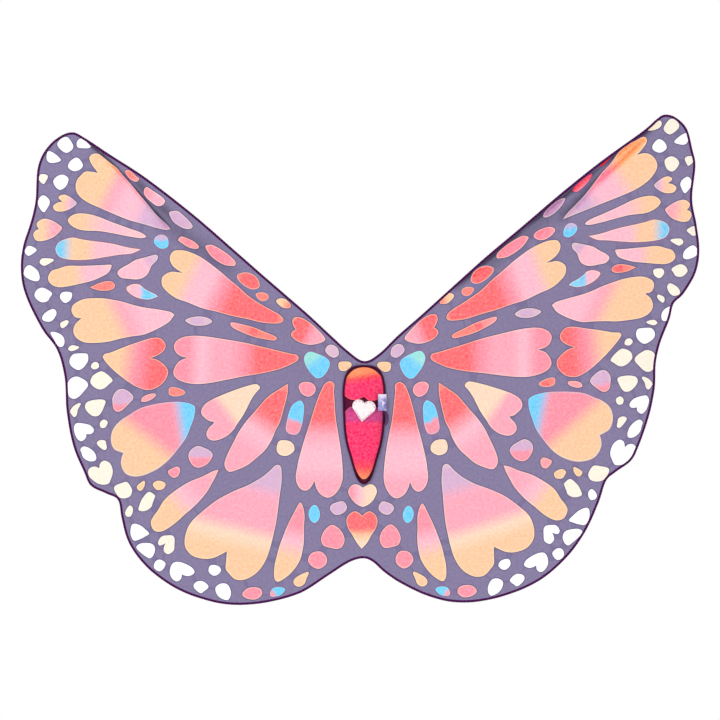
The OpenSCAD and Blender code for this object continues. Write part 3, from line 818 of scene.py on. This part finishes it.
def thread_material(name, dark, light, per_metre, slant, roughness):
    made, tree, shader = new_material(name, Roughness=roughness, Specular_IOR_Level=0.08)
    run = node(tree, "ShaderNodeUVMap", {"uv_map": "UVMap"}).outputs[0]
    crown = use_group(tree, "slanted_threads", Run=run, Threads_per_metre=per_metre, Slant=slant)
    patch = node(tree, "ShaderNodeTexNoise", Vector=run, Scale=90, Detail=2)
    lit = node(tree, "ShaderNodeMath", {"operation": "MULTIPLY"}, i0=crown.outputs[0],
               i1=patch.outputs["Fac"])
    # Painted highlight and shade: dark between the threads, light on each crown where the noise patches
    # are bright.
    colour = node(tree, "ShaderNodeMix", {"data_type": "RGBA"}, i0=lit.outputs[0],
                  i6=(*linear(dark), 1), i7=(*linear(light), 1))
    bump = node(tree, "ShaderNodeBump", Height=crown.outputs[0], Strength=0.6, Distance=0.0004)
    tree.links.new(colour.outputs[2], shader.inputs["Base Color"])
    tree.links.new(bump.outputs[0], shader.inputs["Normal"])
    return made


# Dark plum overlock thread with a painted purple highlight on each thread's crown.
hem_material = thread_material("hem_overlock", (26, 0, 34), (132, 34, 138), 215, 1.4, 0.55)

hems = {}
for side, hand, also in ((-1, "left", "neck_hem"), (1, "right", "tail_hem")):
    edge = wing_edges[side]
    ahead = np.gradient(edge, axis=0)
    out = np.c_[-ahead[:, 1], ahead[:, 0]] * side
    out /= np.linalg.norm(out, axis=1)[:, None]
    out[0], out[-1] = (0, 1), (0, -1)
    depth = hang(side, edge, np.zeros(len(edge)))
    centre_line = edge + 1.3 * out
    path = np.c_[centre_line[:, 0], depth - 1.5, centre_line[:, 1]]
    fine = np.linspace(0, len(path) - 1, 2 * len(path) - 1)
    path = np.stack([np.interp(fine, range(len(path)), path[:, k]) for k in range(3)], 1)
    piece = thread_bead(f"{hand}_edge_overlock", path, 2.2, 1.0, False)
    piece.data.materials.append(hem_material)
    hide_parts(f"{hand}_wing_hem", also)
    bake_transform(piece)
    hems[side] = piece

# ---- Padded body ----
# A stuffed satin body sewn over the middle of the wings: a crimson print on plum, over wadding,
# pillow shaped, with a plum overlock round its seam and a plain cloth patch on the wearer's side.
PAINTS.update({name: linear(rgb) for name, rgb in {
    "plum": (84, 2, 46), "plum_line": (44, 0, 26), "orange": (254, 145, 99),
    "red": (253, 78, 92), "crimson": (253, 60, 110), "magenta": (208, 70, 134),
    "violet": (176, 58, 124), "patch": (112, 102, 140), "patch_line": (90, 80, 120)}.items()})
BODY_CELLS = [
    ("*0,6 7,0 16,-1 26,2 34,9 37,20 34,31 28,41 19,50 7,55 -7,55 -19,50 -28,41 -34,31 -37,20 "
     "-34,9 -25,2 -14,0 -6,3", "-4,54 3,12: orange>orange>red>crimson>crimson>crimson"),
    ("*0,-27 8,-16 18,-12 28,-16 37,-30 36,-50 30,-75 21,-100 11,-124 4,-133 0,-134 -4,-133 "
     "-11,-124 -21,-100 -31,-75 -36,-50 -37,-30 -28,-15 -18,-11 -8,-15",
     "0,-30 0,-132: crimson>crimson>crimson>crimson>crimson>red>orange"),
    ("*0,-27 8,-16 18,-12 28,-16 37,-30 *37,-46 0,-46 *-37,-46 -37,-30 -28,-15 -18,-11 -8,-15",
     "0,-16 0,-46: violet>magenta>magenta>magenta>crimson>crimson"),
]
body_outline = evenly(np.r_[front_loop("body_back"), front_loop("body_back")[:1]], 2.0)[:-1]
pillow_back, crown_high, crown_mid = -2.8, 11.0, -42.0


def crown_at(q):
    """The pillow's height over its seam, away from the seam."""
    return (crown_high - 62 + np.sqrt(62**2 - np.minimum(np.abs(q[:, 0]), 50) ** 2)
            - 700 + np.sqrt(700**2 - (q[:, 1] - crown_mid) ** 2))


def pillow_depth(q):
    to_seam = distance_to(body_outline, q)
    bent = np.sqrt(1 - (1 - np.clip(to_seam / 8.5, 0, 1)) ** 2)
    pucker, soft = ripple(q, 9, 2), ripple(q, 34, 7)
    on_badge = np.clip(np.linalg.norm((q - [0, -16]) / [24, 28], axis=1) - 1, 0, 0.4) / 0.4
    high = crown_at(q) * bent * (1 + 0.10 * pucker * (1 - bent)) + 0.9 * soft * bent * on_badge
    return -0.6 - np.maximum(high - 0.6 * bent, 0)


def fixed(paint):
    def colours(q):
        tint = paint_at(paint, q)
        return tint, tint * 0.75 + PAINTS["orange"] * 0.25
    return colours


body_material = printed_material("body_satin_print", 4200, 0.06, Roughness=0.36,
                                 Specular_IOR_Level=0.16)
body = print_sheet("padded_body", body_outline,
                   [(smooth_outline(text, 1.5), fixed(paint), PAINTS["plum_line"])
                    for text, paint in BODY_CELLS],
                   (PAINTS["plum"], PAINTS["plum_line"]), pillow_depth, pillow_back, pillow_back + 0.8,
                   2.4, flat_back=True)
body.data.materials.append(body_material)
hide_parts("body_cover", "body_filling", "body_back")
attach(body, "centre")


def moved_out(loop, distance):
    ahead = np.roll(loop, -1, 0) - np.roll(loop, 1, 0)
    out = np.c_[ahead[:, 1], -ahead[:, 0]] / np.linalg.norm(ahead, axis=1)[:, None]
    area = (loop[:, 0] * np.roll(loop[:, 1], -1) - loop[:, 1] * np.roll(loop[:, 0], -1)).sum()
    return loop + distance * out * np.sign(area)


seam_line = moved_out(body_outline, 1.7)
edging = thread_bead("body_overlock", np.c_[seam_line[:, 0], np.full(len(seam_line), -3.5),
                                            seam_line[:, 1]], 1.9, 1.5, True)
# Its threads get the same painted highlight on their crowns.
edging.data.materials.append(thread_material("body_overlock", (36, 0, 26), (112, 36, 84), 300, 1.4,
                                             0.45))
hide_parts("body_edging")
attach(edging, "centre")

patch_edge = evenly(np.r_[front_loop("backing_patch"), front_loop("backing_patch")[:1]], 3.0)[:-1]
patch = print_sheet("backing_cloth", patch_edge, [], (PAINTS["patch"], PAINTS["patch_line"]),
                    lambda q: np.zeros(len(q)), -0.95, -0.05, 5.0)
patch.data.materials.append(printed_material("plain_lilac_cloth", 4200, 0.1, Roughness=0.75,
                                             Sheen_Weight=0.2, Specular_IOR_Level=0.2))
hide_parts("backing_patch")
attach(patch, "centre")

# ---- Heart badge ----
# A small woven heart, white with a faint blush, sewn to the padded body with pink running
# stitches inside a thick merrowed edge. The lettering of the real badge is left out.


def solid_material(name, rgb, other, scale, bump_scale, strength, **settings):
    """Cloth or thread without a print: two close colours in fine patches, and a fine relief."""
    made, tree, shader = new_material(name, **settings)
    place = node(tree, "ShaderNodeTexCoord").outputs["Object"]
    patchy = node(tree, "ShaderNodeTexNoise", Vector=place, Scale=scale, Detail=3)
    colour = node(tree, "ShaderNodeMix", {"data_type": "RGBA"}, i0=patchy.outputs["Fac"],
                  i6=(*linear(rgb), 1), i7=(*linear(other), 1))
    weave = use_group(tree, "plain_weave", Cloth=place, Threads_per_metre=bump_scale)
    bump = node(tree, "ShaderNodeBump", Height=weave.outputs[0], Strength=strength,
                Distance=0.0003)
    tree.links.new(colour.outputs[2], shader.inputs["Base Color"])
    tree.links.new(bump.outputs[0], shader.inputs["Normal"])
    return made


def finish_node(name, material):
    """Gives a CAD node that stays its material."""
    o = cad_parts[name]
    o.data.materials.clear()
    o.data.materials.append(material)


finish_node("heart_badge", solid_material("badge_weave", (255, 255, 255), (250, 226, 230), 160,
                                          6000, 0.4, Roughness=0.6, Specular_IOR_Level=0.3))
finish_node("badge_stitches", solid_material("badge_thread", (214, 70, 98), (240, 120, 140), 900,
                                             9000, 0.5, Roughness=0.5))
badge_w, badge_turn = 39.0, math.radians(-8)
lobe_r = badge_w * 0.27
lobe_x = badge_w / 2 - lobe_r
arc = [math.radians(a) for a in np.linspace(-30, 148, 24)]
heart = np.array([(lobe_x + lobe_r * math.cos(a), lobe_r * math.sin(a)) for a in arc]
                 + [(-lobe_x + lobe_r * math.cos(math.pi - a), lobe_r * math.sin(a))
                    for a in arc[::-1]] + [(0, -badge_w * 0.66)])
heart = evenly(np.r_[heart, heart[:1]], 0.8)[:-1]
heart = moved_out(heart, -0.6) @ np.array([[math.cos(badge_turn), math.sin(badge_turn)],
                                           [-math.sin(badge_turn), math.cos(badge_turn)]])
heart[:, 1] -= 11
rim = thread_bead("badge_merrowed_edge", np.c_[heart[:, 0], pillow_back - crown_at(heart) - 1.0,
                                               heart[:, 1]], 0.95, 0.7, True)
# White thread with the same painted highlight on its crowns.
rim.data.materials.append(thread_material("badge_edge_thread", (226, 214, 218), (255, 255, 255),
                                          900, 1.0, 0.5))
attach(rim, "centre")

# ---- Labels and ribbon at the body's edge ----
# A folded pearly satin label and a narrow plum ribbon loop, both caught in the right-hand seam of
# the body, and a white care label that hangs from its stitched top edge low on the wearer's side.


def band(name, route, across, width, thick):
    """A flat band along a route in millimetres, its width along across, with rounded edges."""
    p = np.array(route, float)
    across = np.array(across, float)
    ahead = np.gradient(p, axis=0)
    ahead /= np.linalg.norm(ahead, axis=1)[:, None]
    face = np.cross(ahead, across)
    face /= np.linalg.norm(face, axis=1)[:, None]
    half = [(-0.5, 0.0), (-0.485, 0.36), (-0.45, 0.5), (-0.25, 0.5), (0, 0.5), (0.25, 0.5),
            (0.45, 0.5), (0.485, 0.36)]
    ring = np.array(half + [(-a, -b) for a, b in half])
    run = np.r_[0, np.cumsum(np.linalg.norm(np.diff(p, axis=0), axis=1))]
    n, m = len(p), len(ring)
    co = (p[:, None] + ring[None, :, :1] * width * across + ring[None, :, 1:] * thick * face[:, None])
    faces, corners = [], []
    for i in range(n - 1):
        for k in range(m):
            q = (k + 1) % m
            faces.append((i * m + k, i * m + q, (i + 1) * m + q, (i + 1) * m + k))
            a0, a1 = ring[k, 0] * width / 1000, ring[q, 0] * width / 1000
            corners += [(run[i] / 1000, a0), (run[i] / 1000, a1), (run[i + 1] / 1000, a1),
                        (run[i + 1] / 1000, a0)]
    faces += [tuple(range(m))[::-1], tuple((n - 1) * m + k for k in range(m))]
    corners += [(0, 0)] * (2 * m)
    mesh = bpy.data.meshes.new(name)
    mesh.from_pydata((co.reshape(-1, 3) / 1000).tolist(), [], faces)
    mesh.uv_layers.new(name="UVMap").data.foreach_set("uv", np.array(corners, np.float32).ravel())
    mesh.polygons.foreach_set("use_smooth", [True] * (len(faces) - 2) + [False] * 2)
    mesh.update()
    piece = bpy.data.objects.new(name, mesh)
    bpy.context.scene.collection.objects.link(piece)
    return piece


def curve(a, b, c, d, n):
    """n steps of a cubic curve, its first point left out."""
    a, b, c, d = (np.array(v, float) for v in (a, b, c, d))
    return [(1 - t) ** 3 * a + 3 * (1 - t) ** 2 * t * b + 3 * (1 - t) * t * t * c + t**3 * d
            for t in np.linspace(0, 1, n + 1)[1:]]


def satin_material(name, rgb, other, shade):
    made, tree, shader = new_material(name, Roughness=0.22, Specular_IOR_Level=0.7,
                                      Sheen_Weight=0.3)
    place = node(tree, "ShaderNodeTexCoord").outputs["Object"]
    # Painted reflection and shade: patches of the deeper purple, more of them towards the bottom, mixed
    # in up to shade, stand in for the satin's play of light.
    cloud = node(tree, "ShaderNodeTexNoise", Vector=place, Scale=95, Detail=2, Distortion=1.2)
    height = node(tree, "ShaderNodeSeparateXYZ", Vector=place)
    lower = node(tree, "ShaderNodeMapRange", Value=height.outputs[2], From_Min=0.006,
                 From_Max=-0.008, To_Min=-0.16, To_Max=0.12)
    both = node(tree, "ShaderNodeMath", {"operation": "ADD"}, i0=cloud.outputs["Fac"],
                i1=lower.outputs[0])
    steps = node(tree, "ShaderNodeMapRange", Value=both.outputs[0], From_Min=0.42,
                 From_Max=0.62, To_Max=shade)
    colour = node(tree, "ShaderNodeMix", {"data_type": "RGBA"}, i0=steps.outputs[0],
                  i6=(*linear(rgb), 1), i7=(*linear(other), 1))
    tree.links.new(colour.outputs[2], shader.inputs["Base Color"])
    return made


label_at = np.array([38.4, -6.0])
lean = math.radians(-152)
along, aside = np.array([math.cos(lean), math.sin(lean)]), np.array([-math.sin(lean), math.cos(lean)])
fold = [(0.4, 0.35)] + curve((0.4, 0.35), (6, 1.6), (12, 1.2), (15.6, 0.5), 8) + curve(
    (15.6, 0.5), (16.5, 0.2), (16.5, -0.2), (15.6, -0.5), 4) + curve(
    (15.6, -0.5), (12, -0.2), (6, 0.2), (0.4, -0.35), 8)
label = band("side_label_folded", [(*(label_at + s * along + t * aside), -4.0)
                                   for s, t in fold], (0, 0, 1), 28, 0.45)
# Pearly white with purple patches of painted reflection and shade.
label.data.materials.append(satin_material("label_pearl_satin", (236, 232, 250), (112, 106, 196),
                                           0.9))
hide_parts("side_label")
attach(label, "label")

turns = [math.radians(a) for a in np.linspace(-76, 76, 25)]
ribbon = band("ribbon_loop_folded", [(33.8 + 5.5 * math.cos(a), -5.0, -32 + 11.6 * math.sin(a))
                                     for a in turns], (0.78, 0.63, 0), 6.5, 0.6)
ribbon.data.materials.append(solid_material("plum_ribbon", (70, 20, 74), (104, 44, 110), 300, 7000,
                                            0.4, Roughness=0.35, Specular_IOR_Level=0.5))
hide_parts("ribbon_loop")
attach(ribbon, "centre")

care = band("care_label_sheet", [(0, -0.35 + 1.6 * t**2 + 0.25 * math.sin(5 * t) * t, -180 - 34 * t)
                                 for t in np.linspace(0, 1, 18)], (1, 0, 0), 22, 0.4)
care.data.materials.append(solid_material("care_satin", (250, 250, 250), (236, 236, 240), 60, 7000,
                                          0.3, Roughness=0.35, Specular_IOR_Level=0.5))
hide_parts("care_label")
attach(care, "care")

# ---- Straps and hand loops ----
# Plum ribbed elastic. Two shoulder straps bow out behind the cloth and are sewn flat at both ends;
# a loop for a finger or hand hangs behind each wing tip from a stitched tab on a small patch.


def elastic_material():
    made, tree, shader = new_material("ribbed_elastic", Roughness=0.6, Sheen_Weight=0.3,
                                      Specular_IOR_Level=0.3)
    run = node(tree, "ShaderNodeUVMap", {"uv_map": "UVMap"}).outputs[0]
    apart = node(tree, "ShaderNodeSeparateXYZ", Vector=run)
    ribs = [node(tree, "ShaderNodeMath", {"operation": "MULTIPLY"}, i0=apart.outputs[k], i1=f)
            for k, f in ((0, 2400.0), (1, 4600.0))]
    waves = [node(tree, "ShaderNodeMath", {"operation": "SINE"}, i0=r.outputs[0]) for r in ribs]
    knit = node(tree, "ShaderNodeMath", {"operation": "MULTIPLY_ADD"}, i0=waves[0].outputs[0],
                i1=0.5, i2=waves[1].outputs[0])
    light = node(tree, "ShaderNodeMapRange", Value=knit.outputs[0], From_Min=-1.5, From_Max=1.5)
    # Painted highlight and shade: each rib is lighter on its crest and darker in its groove, following
    # the same height that drives the bump.
    colour = node(tree, "ShaderNodeMix", {"data_type": "RGBA"}, i0=light.outputs[0],
                  i6=(*linear((62, 18, 66)), 1), i7=(*linear((110, 52, 112)), 1))
    bump = node(tree, "ShaderNodeBump", Height=light.outputs[0], Strength=0.5, Distance=0.0004)
    tree.links.new(colour.outputs[2], shader.inputs["Base Color"])
    tree.links.new(bump.outputs[0], shader.inputs["Normal"])
    return made


elastic = elastic_material()
bartack = solid_material("bartack_thread", (40, 8, 44), (84, 40, 92), 900, 12000, 0.6,
                         Roughness=0.5)
sewn = -0.3
strap_line = [(sewn, z) for z in np.linspace(88, 66, 6)] + [tuple(v) for v in curve(
    (sewn, 66), (sewn, 26), (97.65, 48), (105, -30), 30) + curve(
    (105, -30), (111.3, -102), (sewn, -68), (sewn, -120), 30)] + [
    (sewn, z) for z in np.linspace(-124.4, -142, 5)]
loop_line = [(1.0, -z) for z in np.linspace(0, 28, 8)] + [tuple(v) for v in curve(
    (1.0, -31.2), (1.0, -44.2), (9.75, -52), (19.5, -52), 14) + curve(
    (19.5, -52), (29.25, -52), (39, -44.2), (39, -32.2), 14) + curve(
    (39, -32.2), (39, -17.7), (2.7, -15.6), (2.7, 0), 22)]
for side, hand in ((-1, "left"), (1, "right")):
    strap = band(f"{hand}_strap_elastic", [(side * 50, y, z) for y, z in strap_line], (1, 0, 0),
                 15, 1.3)
    strap.data.materials.append(elastic)
    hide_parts(f"{hand}_shoulder_strap")
    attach(strap, "centre")
    x, up = LOOP_TIPS[side]
    loop = band(f"{hand}_loop_elastic", [(x, -0.4 + y, up - 6.3 + z) for y, z in loop_line],
                (1, 0, 0), 10, 1.3)
    loop.data.materials.append(elastic)
    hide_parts(f"{hand}_hand_loop")
    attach(loop, f"{hand}_loop")
    for layer, y in (("front", 0.3), ("rear", 2.0)):
        end = band(f"{hand}_loop_end_{layer}", [(x, y, up + z) for z in np.linspace(6, -6, 7)],
                   (1, 0, 0), 10, 1.35)
        end.data.materials.append(elastic)
        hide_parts(f"{hand}_loop_tab")
        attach(end, f"{hand}_wing")
    finish_node(f"{hand}_strap_bartacks", bartack)
    finish_node(f"{hand}_loop_bartack", bartack)
    finish_node(f"{hand}_tip_patch", bpy.data.materials["plain_lilac_cloth"])

# ---- Stage, light and camera ----
# A pale floor well under the wings, a bright plain surround and soft lamps. The camera looks
# straight at the printed side, level with the middle of the wings.
bpy.ops.mesh.primitive_plane_add(size=4.0, location=(0, 0, -0.9))
floor = bpy.context.object
floor.name = "floor"
floor_material, _, _ = new_material("pale_floor", Base_Color=(0.9, 0.9, 0.9, 1), Roughness=0.8,
                                    Emission_Color=(1, 1, 1, 1), Emission_Strength=0.4)
floor.data.materials.append(floor_material)

world = bpy.data.worlds.new("surround")
bpy.context.scene.world = world
world.use_nodes = True
path = world.node_tree.nodes.new("ShaderNodeLightPath")
glow = world.node_tree.nodes.new("ShaderNodeMapRange")
glow.inputs["To Min"].default_value, glow.inputs["To Max"].default_value = 0.505, 1.0
world.node_tree.links.new(path.outputs["Is Camera Ray"], glow.inputs["Value"])
world.node_tree.nodes["Background"].inputs[0].default_value = (1, 1, 1, 1)
world.node_tree.links.new(glow.outputs[0], world.node_tree.nodes["Background"].inputs[1])


def lamp(name, place, size, power):
    data = bpy.data.lights.new(name, "AREA")
    data.shape, data.size, data.energy = "SQUARE", size, power
    made = bpy.data.objects.new(name, data)
    made.location = place
    made.rotation_euler = (Vector((0, 0, 0.07)) - Vector(place)).to_track_quat("-Z", "Y").to_euler()
    bpy.context.scene.collection.objects.link(made)


lamp("key", (-2.3, -1.9, 2.9), 1.4, 108)
lamp("low_fill", (1.9, -1.8, -0.4), 1.4, 13.5)

camera = bpy.data.objects.new("camera", bpy.data.cameras.new("camera"))
camera.data.lens, camera.data.sensor_width = 120, 36
camera.location = (-0.0068, -1.224 * 120 / 36, 0.068)
camera.rotation_euler = (math.pi / 2, 0, 0)
bpy.context.scene.collection.objects.link(camera)
bpy.context.scene.camera = camera
bpy.context.scene.view_settings.view_transform = "Standard"
